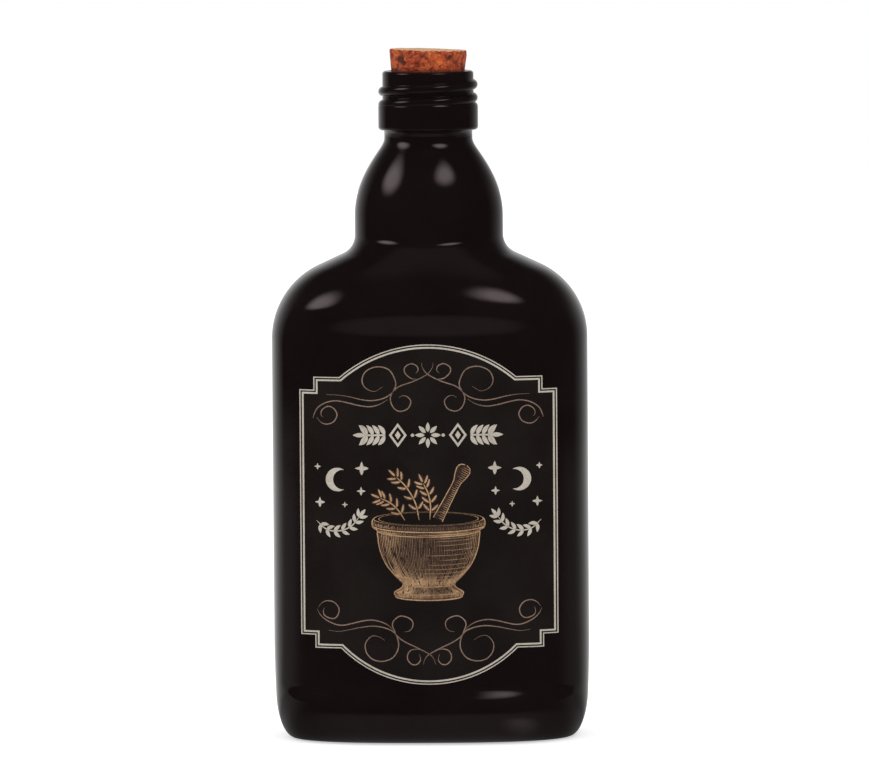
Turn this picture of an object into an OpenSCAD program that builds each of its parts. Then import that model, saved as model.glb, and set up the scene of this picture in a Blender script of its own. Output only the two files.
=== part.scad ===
// Flask-shaped glass bottle: a flattened body with a sunk label panel front and
// back, a round bulb under the neck, a screw-cap mouth closed by a tapered cork,
// and a die-cut paper label on the front panel.
// Origin at the centre of the base, +Z up, the label faces -Y.

/* [Body] */
// Width across the body
body_w = 89; // [82:0.2:104]
// Depth over the heel, front to back
body_d = 66.4; // [55:0.2:72]
// Thickness of the glass
wall = 3; // [2:0.1:4]
// Thickness of the base over the hollow under it
base_t = 4; // [3:0.5:8]
// Depth of the hollow under the base
push_up = 2; // [1:0.1:3]
// Width of the flat ring that the bottle stands on
bearing_w = 4; // [2.5:0.1:6]

/* [Heel] */
// How far the bottom edge turns in at the front
heel_in = 8.6; // [6:0.1:10]
// How far it turns in at the sides
heel_side_in = 4.3; // [3:0.1:8]
// Height of the rounded bottom edge at the sides
heel_side_h = 12; // [11:0.5:16.5]
// Height of the fullest line of the heel at the front
heel_front_h = 10.3; // [8:0.1:11.5]
// Height from that line up to the sunk panel
heel_step_h = 6.4; // [5:0.1:9]
// Squareness of the heel's outline, 2 for an ellipse
heel_form = 2.7; // [2.2:0.05:3]
// How far the sides lean in towards the base, besides that edge
side_draft = 0.95; // [0.3:0.05:1.2]
// Height at which they start to lean in
draft_h = 27; // [20:0.5:34]

/* [Label panel] */
// How far the panel lies behind the heel
panel_recess = 3; // [1:0.1:3.2]
// Height of the straight panel
panel_h = 96.8; // [96:0.2:130]
// Squareness of the panel's outline, 2 for an ellipse
panel_form = 2.9; // [2.4:0.05:3.3]

/* [Shoulder] */
// Height from the panel up to the shoulder's fullest line
crest_step_h = 8.5; // [6:0.1:11]
// How far that line stands in front of the panel
crest_over = 1.8; // [0.6:0.1:2]
// Height from the panel to the top of the shoulder's side arc
shoulder_h = 21.6; // [20:0.1:24]
// Radius of the shoulder's side arc
shoulder_r = 22.4; // [19:0.1:28]
// Slope of the shoulder's side above that arc, in degrees
shoulder_slope = 25; // [15:1:35]
// Radius of the hollow at the bulb's foot at the sides
foot_r = 6; // [3:0.1:7]
// Size of the tighter hollow at the bulb's foot at the front
foot_front = 1; // [0.6:0.1:2.2]
// Squareness of the shoulder's outline under the bulb, 2 for an ellipse
foot_form = 2.4; // [2.1:0.05:2.6]

/* [Bulb and neck] */
// Diameter of the bulb under the neck
bulb_d = 41.8; // [38:0.1:45]
// Height of the bulb's upright wall
bulb_wall_h = 5.2; // [4:0.1:14]
// Height of the bulb's round top
bulb_top_h = 18.9; // [16:0.1:24]
// Diameter of the neck under the collar
neck_d = 24.8; // [24:0.1:26.5]
// Height of the hollow curve from the bulb to the neck
neck_curve_h = 3.1; // [3:0.1:5]
// Height of the straight neck under the collar
neck_h = 2.2; // [1:0.1:6]
// Diameter of the collar
collar_d = 28.1; // [27.4:0.1:31]
// Height of the collar
collar_h = 8.4; // [5:0.1:10]
// Height of the rounding at the top of the collar
collar_round_h = 2.6; // [0.5:0.1:3.5]
// Diameter of the mouth above the collar
mouth_d = 25.7; // [25:0.1:27]
// Height of the mouth above the collar
mouth_h = 8.25; // [7:0.05:14]
// Rounding of the collar's lower edge and of the lip
edge_r = 0.9; // [0.3:0.1:1.1]
// Diameter of the bore through the neck
bore_d = 20.9; // [18:0.1:21]

/* [Cork] */
// Length of the cork inside the neck
cork_in = 19; // [12:0.5:24]
// Length of the cork above the lip
cork_out = 6.3; // [4:0.1:14]
// Gap between the cork and the bore at the lip
cork_gap = 0.1; // [0.05:0.01:0.2]
// Spread of the cork above the lip, on the radius
cork_flare = 0.65; // [0.2:0.05:1]
// Taper of the cork inside the neck, in degrees a side
cork_taper = 3.5; // [1:0.1:5]
// Worn edge at both ends of the cork
cork_edge = 0.6; // [0.2:0.1:1]

/* [Label] */
// Width of the label
label_w = 72; // [60:0.2:74]
// Width over the upper and lower steps
label_step_w = 64; // [50:0.2:68]
// Height of each step
label_step_h = 3.65; // [2:0.05:6]
// Width of the arches
label_arch_w = 49.4; // [36:0.2:56]
// Rise of the upper arch
label_top_rise = 9.15; // [4:0.05:14]
// Rise of the lower arch
label_low_rise = 10.15; // [4:0.05:14]
// Height of the label from arch to arch
label_h = 95.5; // [70:0.1:97.4]
// Gap from the panel's lower edge to the label
label_gap = 0.3; // [0.2:0.1:0.6]
// Thickness of the paper
label_t = 0.15; // [0.1:0.05:0.3]

/* [Hidden] */

// Facets round the body and round its cavity
BODY_SIDES = 72;
CAVITY_SIDES = 48;
$fn = 96;

// Heights of the body's lines above the base
panel_z = heel_front_h + heel_step_h;
panel_top_z = panel_z + panel_h;
crest_z = panel_top_z + crest_step_h;

// Half widths and half depths of the body's lines
half_w = body_w / 2;
heel_b = body_d / 2;
panel_b = heel_b - panel_recess;
crest_b = panel_b + crest_over;
bulb_r = bulb_d / 2;

// The shoulder's side: an arc, a straight slope, and the hollow at the bulb's wall
arc_x = half_w - shoulder_r;
arc_z = panel_top_z + shoulder_h - shoulder_r;
slope_x = arc_x + shoulder_r * sin(shoulder_slope);
slope_z = arc_z + shoulder_r * cos(shoulder_slope);
foot_x = bulb_r + foot_r;
foot_z = slope_z + (slope_x - foot_x) * tan(shoulder_slope) + foot_r / cos(shoulder_slope);
foot_low_z = foot_z - foot_r * cos(shoulder_slope);
crest_angle = asin((crest_z - arc_z) / shoulder_r);

// The hollow stops just short of the bulb's wall and leaves a fine line there
FOOT_STOP = 20;
cap_z = foot_z - foot_r * sin(FOOT_STOP);

// Heights up the neck
bulb_z = foot_z + bulb_wall_h;
neck_curve_z = bulb_z + bulb_top_h;
neck_z = neck_curve_z + neck_curve_h;
collar_z = neck_z + neck_h;
mouth_z = collar_z + collar_h;
lip_z = mouth_z + mouth_h;

// Radii up the neck
neck_r = neck_d / 2;
collar_r = collar_d / 2;
mouth_r = mouth_d / 2;
bore_r = bore_d / 2;
BULB_LEAN = 35;
bulb_top_r = neck_r + 1.3;

// Powers of the curves: heel roll, lean of the sides, front of the shoulder
ROLL_POWER = 1.3;
DRAFT_POWER = 1.5;
FRONT_POWER = 1.5;

// Share of the way from a to b, and a smooth step between them
function share(v, a, b) = min(1, max(0, (v - a) / (b - a)));
function smooth(t) = t * t * (3 - 2 * t);

// How far an elliptical rounding of the given depth and height is turned in at z
function turned_in(z, depth, height) =
    depth * (1 - sqrt(1 - pow(max(0, 1 - z / height), 2)));

// Half width of the body at a height
function side_at(z) = half_w - side_draft * pow(1 - share(z, 0, draft_h), DRAFT_POWER);
function width_at(z) =
    z < heel_side_h ? side_at(z) - turned_in(z, heel_side_in, heel_side_h)
    : z <= panel_top_z ? side_at(z)
    : z <= slope_z ? arc_x + sqrt(pow(shoulder_r, 2) - pow(z - arc_z, 2))
    : z <= foot_low_z ? slope_x - (z - slope_z) / tan(shoulder_slope)
    : foot_x - sqrt(max(0, pow(foot_r, 2) - pow(foot_z - z, 2)));

// Half depth of the body at a height. Over is how far the front of the shoulder
// stands out from the bulb, and the hollow rounds the corner between them
function over_at(z) = (crest_b - bulb_r) * (1 - pow((z - crest_z) / (cap_z - crest_z), FRONT_POWER));
function rounded(over) = (over + sqrt(pow(over, 2) + pow(foot_front, 2))) / 2;
function depth_at(z) =
    z < heel_front_h ? heel_b - turned_in(z, heel_in, heel_front_h)
    : z < panel_z ? heel_b - panel_recess * pow(share(z, heel_front_h, panel_z), ROLL_POWER)
    : z <= panel_top_z ? panel_b
    : z < crest_z ? panel_b + crest_over * smooth(share(z, panel_top_z, crest_z))
    : bulb_r + rounded(over_at(z));

// Squareness of the body's outline at a height
function form_at(z) =
    z < panel_z ? heel_form + (panel_form - heel_form) * share(z, heel_front_h, panel_z)
    : z < foot_low_z ? panel_form - (panel_form - foot_form) * share(z, panel_top_z, foot_low_z)
    : 2 + (foot_form - 2) * smooth(share(z, cap_z, foot_low_z));

// Point of a superellipse, and its closed outline
function signed_power(v, p) = sign(v) * pow(abs(v), p);
function outline_point(a, b, form, angle) =
    [a * signed_power(cos(angle), 2 / form), b * signed_power(sin(angle), 2 / form)];
function outline(a, b, form, sides) =
    [for (i = [0:sides - 1]) outline_point(a, b, form, 360 * i / sides)];

// One ring of the body's skin: [height, half width, half depth, squareness]
function skin_ring(z) = [z, width_at(z), depth_at(z), form_at(z)];

// One ring of the cavity. The shoulder's inner face lies one wall below the outer
function cavity_ring(z) = let (up = z + wall * share(z, panel_z, panel_top_z))
    [z, width_at(up) - wall, depth_at(up) - wall, form_at(up)];

// Heights of the rings, closer together where the skin curves
heel_zs = [for (t = [0:12:72]) heel_side_h * (1 - cos(t))];
ROLL_SHARES = [0, 0.35, 0.7, 1];
roll_zs = [for (f = ROLL_SHARES) heel_front_h + heel_step_h * f];
crest_zs = [for (i = [0:4]) panel_top_z + crest_step_h * i / 5];
arc_zs = [for (i = [0:8])
    arc_z + shoulder_r * sin(crest_angle + (90 - shoulder_slope - crest_angle) * i / 8)];
foot_zs = concat([for (i = [1:2]) slope_z + (foot_low_z - slope_z) * i / 2],
    [for (i = [1:4]) foot_low_z + (cap_z - foot_low_z) * i / 4]);
skin_zs = concat(heel_zs, roll_zs, crest_zs, arc_zs, foot_zs);

// Solid through a stack of rings, capped flat at both ends
module loft(rings, sides) {
    count = len(rings);
    points = [for (r = rings) for (p = outline(r[1], r[2], r[3], sides)) [p[0], p[1], r[0]]];
    skin = [for (k = [0:count - 2]) for (i = [0:sides - 1])
        let (low = k * sides, high = low + sides, next = (i + 1) % sides)
        each [[low + i, high + i, high + next], [low + i, high + next, low + next]]];
    bottom = [for (i = [0:sides - 1]) i];
    top = [for (i = [0:sides - 1]) count * sides - 1 - i];
    polyhedron(points, concat(skin, [bottom, top]), convexity = 6);
}

// Points along a quarter round from one angle to another
function arc_points(x, z, r, from, to, steps) =
    [for (i = [0:steps]) let (t = from + (to - from) * i / steps) [x + r * cos(t), z + r * sin(t)]];

// Points along a cubic curve with four handles, without its first one
function curve_points(p, steps) = [for (i = [1:steps]) let (t = i / steps, s = 1 - t)
    s * s * s * p[0] + 3 * s * s * t * p[1] + 3 * s * t * t * p[2] + t * t * t * p[3]];

// Top of the bulb, drawn at a radius less than the outer one by inset
BULB_RISE = 7.5 / 18;
BULB_LEAD = 1 / 3;
function bulb_curve(inset, steps) =
    let (wide = bulb_r - inset, narrow = bulb_top_r - inset)
    curve_points([[wide, bulb_z], [wide, bulb_z + bulb_top_h * BULB_RISE],
        [narrow + bulb_top_h * BULB_LEAD * sin(BULB_LEAN),
         neck_curve_z - bulb_top_h * BULB_LEAD * cos(BULB_LEAN)],
        [narrow, neck_curve_z]], steps);

// Hollow curve from the bulb's top to a straight neck of the given radius
function neck_curve(from_r, to_r, steps) =
    let (knee = min(neck_z, neck_curve_z + (from_r - to_r) / tan(BULB_LEAN)))
    curve_points([[from_r, neck_curve_z], [(from_r + 2 * to_r) / 3, (neck_curve_z + 2 * knee) / 3],
        [to_r, (neck_z + 2 * knee) / 3], [to_r, neck_z]], steps);

// Bulb, neck, collar and mouth as one turned solid, standing in the shoulder
ARC_STEPS = 4;
CURVE_STEPS = 10;
module neck_solid() {
    sink_z = crest_z;
    rotate_extrude() polygon(concat(
        [[0, sink_z], [bulb_r, sink_z], [bulb_r, bulb_z]],
        bulb_curve(0, CURVE_STEPS),
        neck_curve(bulb_top_r, neck_r, ARC_STEPS),
        [[neck_r, collar_z]],
        arc_points(collar_r - edge_r, collar_z + edge_r, edge_r, -90, 0, ARC_STEPS),
        [for (i = [0:ARC_STEPS]) let (t = 90 * i / ARC_STEPS)
            [mouth_r + (collar_r - mouth_r) * cos(t), mouth_z - collar_round_h * (1 - sin(t))]],
        arc_points(mouth_r - edge_r, lip_z - edge_r, edge_r, 0, 90, ARC_STEPS),
        [[0, lip_z]]));
}

// The same neck's cavity, with a straight bore through the collar and mouth
module neck_cavity() {
    sink_z = crest_z;
    over = 1;
    rotate_extrude() polygon(concat(
        [[0, sink_z], [bulb_r - wall, sink_z], [bulb_r - wall, bulb_z]],
        [for (p = bulb_curve(wall, CURVE_STEPS)) if (p[0] > bore_r) p],
        [[bore_r, neck_curve_z], [bore_r, lip_z - edge_r / 2],
         [bore_r + edge_r / 2, lip_z], [bore_r + edge_r / 2, lip_z + over], [0, lip_z + over]]));
}

// Cavity of the body, from the floor up to the bulb
floor_z = base_t + push_up;
FLOOR_RINGS = 4;
module body_cavity() {
    round_h = heel_side_h - base_t;
    floor_rings = [for (i = [0:FLOOR_RINGS - 1])
        let (z = floor_z + round_h * (1 - cos(72 * i / (FLOOR_RINGS - 1))),
             inset = turned_in(z - floor_z, heel_in, round_h))
        [z, half_w - side_draft - wall - inset, panel_b - wall - inset, panel_form]];
    loft(concat(floor_rings,
        [for (z = [panel_top_z - wall, (panel_top_z + crest_z) / 2 - wall]) cavity_ring(z)],
        [for (z = concat(arc_zs, [foot_low_z])) cavity_ring(z - wall)],
        [cavity_ring(cap_z - wall)]), CAVITY_SIDES);
}

// Shallow hollow under the base, inside the bearing ring
HOLLOW_RINGS = 4;
module base_hollow() {
    reach_w = half_w - side_draft - heel_side_in - bearing_w;
    reach_d = heel_b - heel_in - bearing_w;
    over = 1;
    loft(concat([[-over, reach_w, reach_d, heel_form]],
        [for (i = [0:HOLLOW_RINGS - 1]) let (t = 84 * i / (HOLLOW_RINGS - 1))
            [push_up * sin(t), reach_w * cos(t), reach_d * cos(t), heel_form]]), CAVITY_SIDES);
}

module bottle() {
    color("#17100f") difference() {
        union() {
            loft([for (z = skin_zs) skin_ring(z)], BODY_SIDES);
            neck_solid();
        }
        body_cavity();
        neck_cavity();
        base_hollow();
    }
}

// The cork's radius at the lip, at its top and at its foot
cork_r = bore_r - cork_gap;
cork_top_r = cork_r + cork_flare;
cork_foot_r = cork_r - cork_in * tan(cork_taper);
module cork_stopper() {
    top_z = lip_z + cork_out;
    foot_end_z = lip_z - cork_in;
    color("#b5703c") rotate_extrude() polygon([
        [0, foot_end_z], [cork_foot_r - cork_edge, foot_end_z], [cork_foot_r, foot_end_z + cork_edge],
        [cork_r, lip_z], [cork_top_r, top_z - cork_edge], [cork_top_r - cork_edge, top_z], [0, top_z]]);
}

// Outline of the label as seen from the front: [x, z]. It stays on the panel
label_z = panel_z + label_gap;
label_top_z = label_z + min(label_h, panel_h - 2 * label_gap);
function arch(width, rise, z, steps) =
    let (r = (pow(width / 2, 2) + rise * rise) / (2 * rise), half = asin(width / 2 / r))
    [for (i = [0:steps]) let (t = half - 2 * half * i / steps) [r * sin(t), z - r + r * cos(t)]];
ARCH_STEPS = 24;
module label_outline() {
    top_step_z = label_top_z - label_top_rise;
    low_step_z = label_z + label_low_rise;
    polygon(concat(
        [[label_w / 2, low_step_z + label_step_h], [label_w / 2, top_step_z - label_step_h],
         [label_step_w / 2, top_step_z - label_step_h], [label_step_w / 2, top_step_z]],
        arch(label_arch_w, label_top_rise, label_top_z, ARCH_STEPS),
        [[-label_step_w / 2, top_step_z], [-label_step_w / 2, top_step_z - label_step_h],
         [-label_w / 2, top_step_z - label_step_h], [-label_w / 2, low_step_z + label_step_h],
         [-label_step_w / 2, low_step_z + label_step_h], [-label_step_w / 2, low_step_z]],
        [for (p = arch(label_arch_w, label_low_rise, -label_z, ARCH_STEPS)) [-p[0], -p[1]]],
        [[label_step_w / 2, low_step_z], [label_step_w / 2, low_step_z + label_step_h]]));
}

// Paper that lies on the panel's facets: its back runs through the same points
LABEL_REACH = 65;
module label_paper() {
    angles = [for (t = [-90 - LABEL_REACH:360 / BODY_SIDES:-90 + LABEL_REACH]) t];
    back = [for (t = angles) outline_point(half_w, panel_b, panel_form, t)];
    face = [for (t = angles)
        let (p = outline_point(half_w, panel_b, panel_form, t),
             n = [signed_power(p[0] / half_w, panel_form - 1) / half_w,
                  signed_power(p[1] / panel_b, panel_form - 1) / panel_b])
        p + label_t * n / norm(n)];
    last = len(angles) - 1;
    translate([0, 0, panel_z]) linear_extrude(panel_h)
        polygon(concat(face, [for (i = [0:last]) back[last - i]]));
}

module front_label() {
    color("#1d1714") intersection() {
        label_paper();
        rotate([90, 0, 0]) linear_extrude(body_d) label_outline();
    }
}

bottle();
cork_stopper();
front_label();
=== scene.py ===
import bpy
import numpy as np
from mathutils import Matrix, Vector


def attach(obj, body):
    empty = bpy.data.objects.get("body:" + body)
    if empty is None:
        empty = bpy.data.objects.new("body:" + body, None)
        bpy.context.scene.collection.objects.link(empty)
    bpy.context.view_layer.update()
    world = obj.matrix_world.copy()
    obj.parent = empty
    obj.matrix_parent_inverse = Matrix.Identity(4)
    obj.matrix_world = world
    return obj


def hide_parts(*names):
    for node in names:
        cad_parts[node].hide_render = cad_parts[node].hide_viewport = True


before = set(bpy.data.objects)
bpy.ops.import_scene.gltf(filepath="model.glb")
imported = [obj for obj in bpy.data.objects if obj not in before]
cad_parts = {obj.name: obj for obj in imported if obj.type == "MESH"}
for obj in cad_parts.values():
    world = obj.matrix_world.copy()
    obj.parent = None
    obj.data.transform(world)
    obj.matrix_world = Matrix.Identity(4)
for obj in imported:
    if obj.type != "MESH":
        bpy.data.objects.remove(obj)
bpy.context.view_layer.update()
MM = 0.001

# Camera
# The bottle was photographed from about three metres with a long lens, the
# camera a little above the lip, looking slightly down and from the right.
# Here and in the studio, lengths are in metres.
CAMERA_AWAY = 2.9
CAMERA_HEIGHT = 0.303
CAMERA_YAW = np.radians(1.4)
CAMERA_LENS = 426.4
CAMERA_SEES = 20
SENSOR_WIDTH = 36.0
IMAGE_WIDTH = 869
AIM_HEIGHT = 0.0997
AIM_PIXEL_X = 430.1
CAMERA_ROLL = np.radians(-0.42)

focal_pixels = CAMERA_LENS / SENSOR_WIDTH * IMAGE_WIDTH
away = Vector((CAMERA_AWAY * np.sin(CAMERA_YAW), -CAMERA_AWAY * np.cos(CAMERA_YAW), CAMERA_HEIGHT))
toward = Vector((0, 0, AIM_HEIGHT)) - away
turn = toward.to_track_quat("-Z", "Y").to_matrix()
pan = Matrix.Rotation(-np.arctan((IMAGE_WIDTH / 2 - AIM_PIXEL_X) / focal_pixels), 3, "Y")
camera_data = bpy.data.cameras.new("camera")
camera_data.lens = CAMERA_LENS
camera_data.sensor_width = SENSOR_WIDTH
camera_data.clip_end = CAMERA_SEES
camera = bpy.data.objects.new("camera", camera_data)
roll = Matrix.Rotation(CAMERA_ROLL, 3, "Z")
camera.matrix_world = Matrix.Translation(away) @ (turn @ pan @ roll).to_4x4()
bpy.context.collection.objects.link(camera)
bpy.context.scene.camera = camera
bpy.context.scene.view_settings.view_transform = "Standard"


# Studio
# White paper sweep behind and under the bottle, one soft lamp high on the right,
# one lower and further round on the left, and a dark room behind the camera.
class Wire:
    """One output of a shader tree. Sums written with it add their Math nodes."""

    def __init__(self, tree, socket=None):
        self.tree = tree
        self.socket = socket

    def node(self, kind, settings=None, inputs=None, out=0):
        """Adds a node, sets its settings first and then its sockets, and gives one output."""
        made = self.tree.nodes.new(kind)
        for key, value in (settings or {}).items():
            setattr(made, key, value)
        for key, value in (inputs or {}).items():
            if isinstance(value, Wire):
                self.tree.links.new(value.socket, made.inputs[key])
            else:
                made.inputs[key].default_value = value
        return Wire(self.tree, made.outputs[out] if made.outputs else None)

    def other(self, name):
        """Another output of the same node."""
        return Wire(self.tree, self.socket.node.outputs[name])

    def math(self, operation, *values):
        """Adds a Math node over the values."""
        return self.node("ShaderNodeMath", {"operation": operation}, dict(enumerate(values)))

    def __add__(self, value):
        return self.math("ADD", self, value)

    def __sub__(self, value):
        return self.math("SUBTRACT", self, value)

    def __rsub__(self, value):
        return self.math("SUBTRACT", value, self)

    def __mul__(self, value):
        return self.math("MULTIPLY", self, value)

    def __truediv__(self, value):
        return self.math("DIVIDE", self, value)

    def __pow__(self, value):
        return self.math("POWER", self, value)

    __radd__ = __add__
    __rmul__ = __mul__

    def step(self, low, high):
        """0 below low, 1 above high, and a smooth step between them."""
        return self.node(
            "ShaderNodeMapRange",
            {"interpolation_type": "SMOOTHSTEP"},
            {"Value": self, "From Min": low, "From Max": high},
        )

    def blend(self, low, high):
        """The colour low where this value is 0, and high where it is 1."""
        inputs = {0: self}
        for key, colour in ((6, low), (7, high)):
            inputs[key] = colour if isinstance(colour, Wire) else (*colour, 1)
        return self.node("ShaderNodeMix", {"data_type": "RGBA"}, inputs, 2)

    def far(self, other):
        """Distance from the middle: the root of the sum of both squares."""
        return self.math("SQRT", self * self + other * other)

    def noise(self, scale, detail, roughness=0.5, out=0):
        """Noise at the place that this wire holds."""
        inputs = {"Vector": self, "Scale": scale, "Detail": detail, "Roughness": roughness}
        return self.node("ShaderNodeTexNoise", inputs=inputs, out=out)

    def surface(self, colour, roughness, height, strength, distance, constants=None):
        """Joins a Principled shader with a bump of this height, strength and distance to the output."""
        relief = {"Height": height, "Strength": strength, "Distance": distance}
        bump = self.node("ShaderNodeBump", inputs=relief)
        inputs = {"Base Color": colour, "Roughness": roughness, "Normal": bump, **(constants or {})}
        body = self.node("ShaderNodeBsdfPrincipled", inputs=inputs)
        self.node("ShaderNodeOutputMaterial", inputs={0: body})


def shader_tree(owner):
    """Clears an owner's node tree and gives a wire to start from."""
    owner.use_nodes = True
    owner.node_tree.nodes.clear()
    return Wire(owner.node_tree)


def sweep(back, brightness, start, full, power):
    """Brightness of the paper: none where back is start, growing by a power to its full value."""
    inputs = {"Value": back, "From Min": start, "From Max": full}
    share_of = back.node("ShaderNodeMapRange", inputs=inputs)
    return brightness * share_of**power


def both_sweeps(across, back):
    """The paper on the left and on the right, one running into the other behind the bottle."""
    left = sweep(back, *SWEEP_LEFT)
    return left + across.step(*MIDDLE) * (sweep(back, *SWEEP_RIGHT) - left)


AMBIENT = 0.86
PAPER_WHITE = 1.0
ROOM_DARK = 0.005
CEILING = 0.10
CEILING_EDGE = (0.88, 0.985)
SWEEP_LEFT = (0.64, 0.40, 0.92, 1.05)
SWEEP_RIGHT = (0.48, 0.30, 1.0, 1.5)
SWEEP_TOP = (0.05, 0.6)
MIDDLE = (-0.35, 0.35)
TINY = 0.001

world = bpy.data.worlds.new("studio")
bpy.context.scene.world = world
world.cycles.sampling_method = "NONE"
w = shader_tree(world)
way_x = w.node("ShaderNodeSeparateXYZ", inputs={0: w.node("ShaderNodeTexCoord")})
way_y = way_x.other("Y")
way_z = way_x.other("Z")
level = way_x.far(way_y) + TINY
behind = both_sweeps(way_x / level, way_y / level)
seen = ROOM_DARK + behind * (1 - way_z.step(*SWEEP_TOP)) + way_z.step(*CEILING_EDGE) * CEILING
straight = w.node("ShaderNodeLightPath", out="Is Camera Ray")
glossy = straight.other("Is Glossy Ray")
strength = AMBIENT + straight * (PAPER_WHITE - AMBIENT) + glossy * (seen - AMBIENT)
sky = w.node("ShaderNodeBackground", inputs={"Color": (1, 1, 1, 1), "Strength": strength})
w.node("ShaderNodeOutputWorld", inputs={0: sky})

# The glass sees the paper glow with painted light: bright near the bottle, unless at a low slant
# or straight ahead, a painted pool of lamp light beside the heel, and a dim table further out at the
# sides.
FLOOR_HALF = 3.0
FLOOR_Z = -0.0001
FLOOR_WHITE = 0.88
FLOOR_LIFT = 0.5
NEAR_LIT = 0.17
NEAR_END = (0.2, 0.42)
AHEAD_DIM = 0.6
AHEAD = (-0.85, -0.4)
SLANT_LIT = (0.10, 0.45)
PATCH_AT = (0.030, -0.0335)
PATCH_R = 0.010
PATCH_LIT = 0.38
TABLE_SIDES = (0.17, 0.10)
TABLE_FRONT = (-0.4, 0.1)
TABLE_END = (0.85, 1.35)
floor_mesh = bpy.data.meshes.new("floor")
corners = [(x * FLOOR_HALF, y * FLOOR_HALF, FLOOR_Z) for x, y in ((-1, -1), (1, -1), (1, 1), (-1, 1))]
floor_mesh.from_pydata(corners, [], [(0, 1, 2, 3)])
floor = bpy.data.objects.new("floor", floor_mesh)
bpy.context.collection.objects.link(floor)
paper = bpy.data.materials.new("white_sweep")
s = shader_tree(paper)
place = s.node("ShaderNodeTexCoord", out="Object")
across = s.node("ShaderNodeSeparateXYZ", inputs={0: place})
depth = across.other("Y")
distance = across.far(depth) + TINY
way_x = across / distance
way_y = depth / distance
seen_from = s.node("ShaderNodeNewGeometry", out="Incoming")
slant = s.node("ShaderNodeSeparateXYZ", inputs={0: seen_from}).other("Z")
near = (1 - distance.step(*NEAR_END)) * (1 - AHEAD_DIM * way_y.step(*AHEAD))
near = near * slant.step(*SLANT_LIT) * NEAR_LIT
patch = (1 - (across - PATCH_AT[0]).far(depth - PATCH_AT[1]).step(0, PATCH_R)) * PATCH_LIT
side = TABLE_SIDES[0] + way_x.step(*MIDDLE) * (TABLE_SIDES[1] - TABLE_SIDES[0])
table = side * way_y.step(*TABLE_FRONT) * (1 - distance.step(*TABLE_END))
seen = ROOM_DARK + near + patch + table + both_sweeps(way_x, way_y)
glow = s.node("ShaderNodeEmission", inputs={"Strength": seen})
matt = s.node("ShaderNodeBsdfDiffuse", inputs={"Color": (FLOOR_WHITE, FLOOR_WHITE, FLOOR_WHITE, 1)})
straight = s.node("ShaderNodeLightPath", out="Is Camera Ray")
glossy = straight.other("Is Glossy Ray")
lift = s.node("ShaderNodeEmission", inputs={"Strength": straight * FLOOR_LIFT})
lifted = s.node("ShaderNodeAddShader", inputs={0: matt, 1: lift})
mixed = s.node("ShaderNodeMixShader", inputs={0: glossy, 1: lifted, 2: glow})
s.node("ShaderNodeOutputMaterial", inputs={0: mixed})
floor_mesh.materials.append(paper)

LAMP_AWAY = 1.3
LAMP_RADIANCE = 2.3
LAMP_AIM = Vector((0, 0, 0.1))
LAMP_FADE = (0.12, 0.5)


def soft_lamp(name, turned, raised, width, height):
    """A flat soft lamp in a direction given in degrees from the camera's side, facing the bottle."""
    turned, raised = np.radians((turned, raised))
    way = Vector((np.sin(turned) * np.cos(raised), -np.cos(turned) * np.cos(raised), np.sin(raised)))
    data = bpy.data.lights.new(name, "AREA")
    data.shape = "ELLIPSE"
    data.size = width
    data.size_y = height
    data.energy = LAMP_RADIANCE * np.pi * width * height * np.pi / 4
    g = shader_tree(data)
    spot = g.node("ShaderNodeNewGeometry", out="Parametric")
    ends = {0: spot, 1: (0.5, 0.5, 0)}
    spread = g.node("ShaderNodeVectorMath", {"operation": "DISTANCE"}, ends, "Value")
    glow = g.node("ShaderNodeEmission", inputs={"Strength": 1 - spread.step(*LAMP_FADE)})
    g.node("ShaderNodeOutputLight", inputs={0: glow})
    lamp = bpy.data.objects.new(name, data)
    facing = way.to_track_quat("Z", "Y").to_matrix().to_4x4()
    lamp.matrix_world = Matrix.Translation(LAMP_AIM + way * LAMP_AWAY) @ facing
    bpy.context.collection.objects.link(lamp)


soft_lamp("lamp_right", 38, 49, 0.92, 0.60)
soft_lamp("lamp_left", -75.5, 38, 0.96, 0.86)

# Bottle
# One piece of opaque black glass, blown in a two-part mould: a flattened body
# with a sunk panel front and back, a round bulb, and a screw-cap mouth.
# In millimetres; Z is a height over the base, B half a depth, and FORM the n of a ring.
HALF_W = 44.5
HEEL_B = 33.2
WALL = 3.0
BASE_T = 4.0
PUSH_UP = 2.0
BEARING_W = 4.0
HEEL_IN = 8.6
HEEL_SIDE_IN = 4.3
HEEL_SIDE_H = 12.0
DRAFT = 0.95
DRAFT_H = 27.0
DRAFT_POWER = 1.5
HEEL_FRONT_H = 10.3
HEEL_FORM = 2.7
PANEL_Z = 16.7
PANEL_TOP_Z = 113.5
PANEL_B = 30.2
PANEL_FORM = 2.9
CREST_Z = 122.0
CREST_B = 32.0
SHOULDER_R = 22.4
SHOULDER_TOP_Z = 135.1
SHOULDER_SLOPE = np.radians(25)
FOOT_R = 6.0
FRONT_FOOT_Z = 139.75
FRONT_HOLLOW = 1.0
FRONT_POWER = 1.5
FOOT_FORM = 2.4
FOOT_STOP = np.radians(3)
BULB_R = 20.9
BULB_WALL_H = 5.2
BULB_TOP_H = 18.9
BULB_TOP_R = 13.7
BULB_FULL = 0.4167
BULB_LEAN = np.radians(35)
NECK_R = 12.4
NECK_CURVE_H = 3.1
NECK_H = 2.2
COLLAR_R = 14.05
COLLAR_H = 8.4
COLLAR_ROUND = (2.05, 0.55)
MOUTH_R = 12.85
MOUTH_H = 8.25
EDGE_R = 0.9
BORE_R = 10.45
BORE_MID = 8
ROLL_Z = 7.0
ROLL_TOP_Z = 17.1
ROLL_HANDLES = (5.5, 2.8)
PANEL_SOFT = 0.6
THREAD_PITCH = 3.7
THREAD_CREST = 1.15
THREAD_HALF = 1.35
THREAD_RIGHT_Z = 183.9
THREAD_FROM = np.radians(-575)
THREAD_TO = np.radians(62)
THREAD_FADE = np.radians(28)
THREAD_FLAT = 0.6
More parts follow.
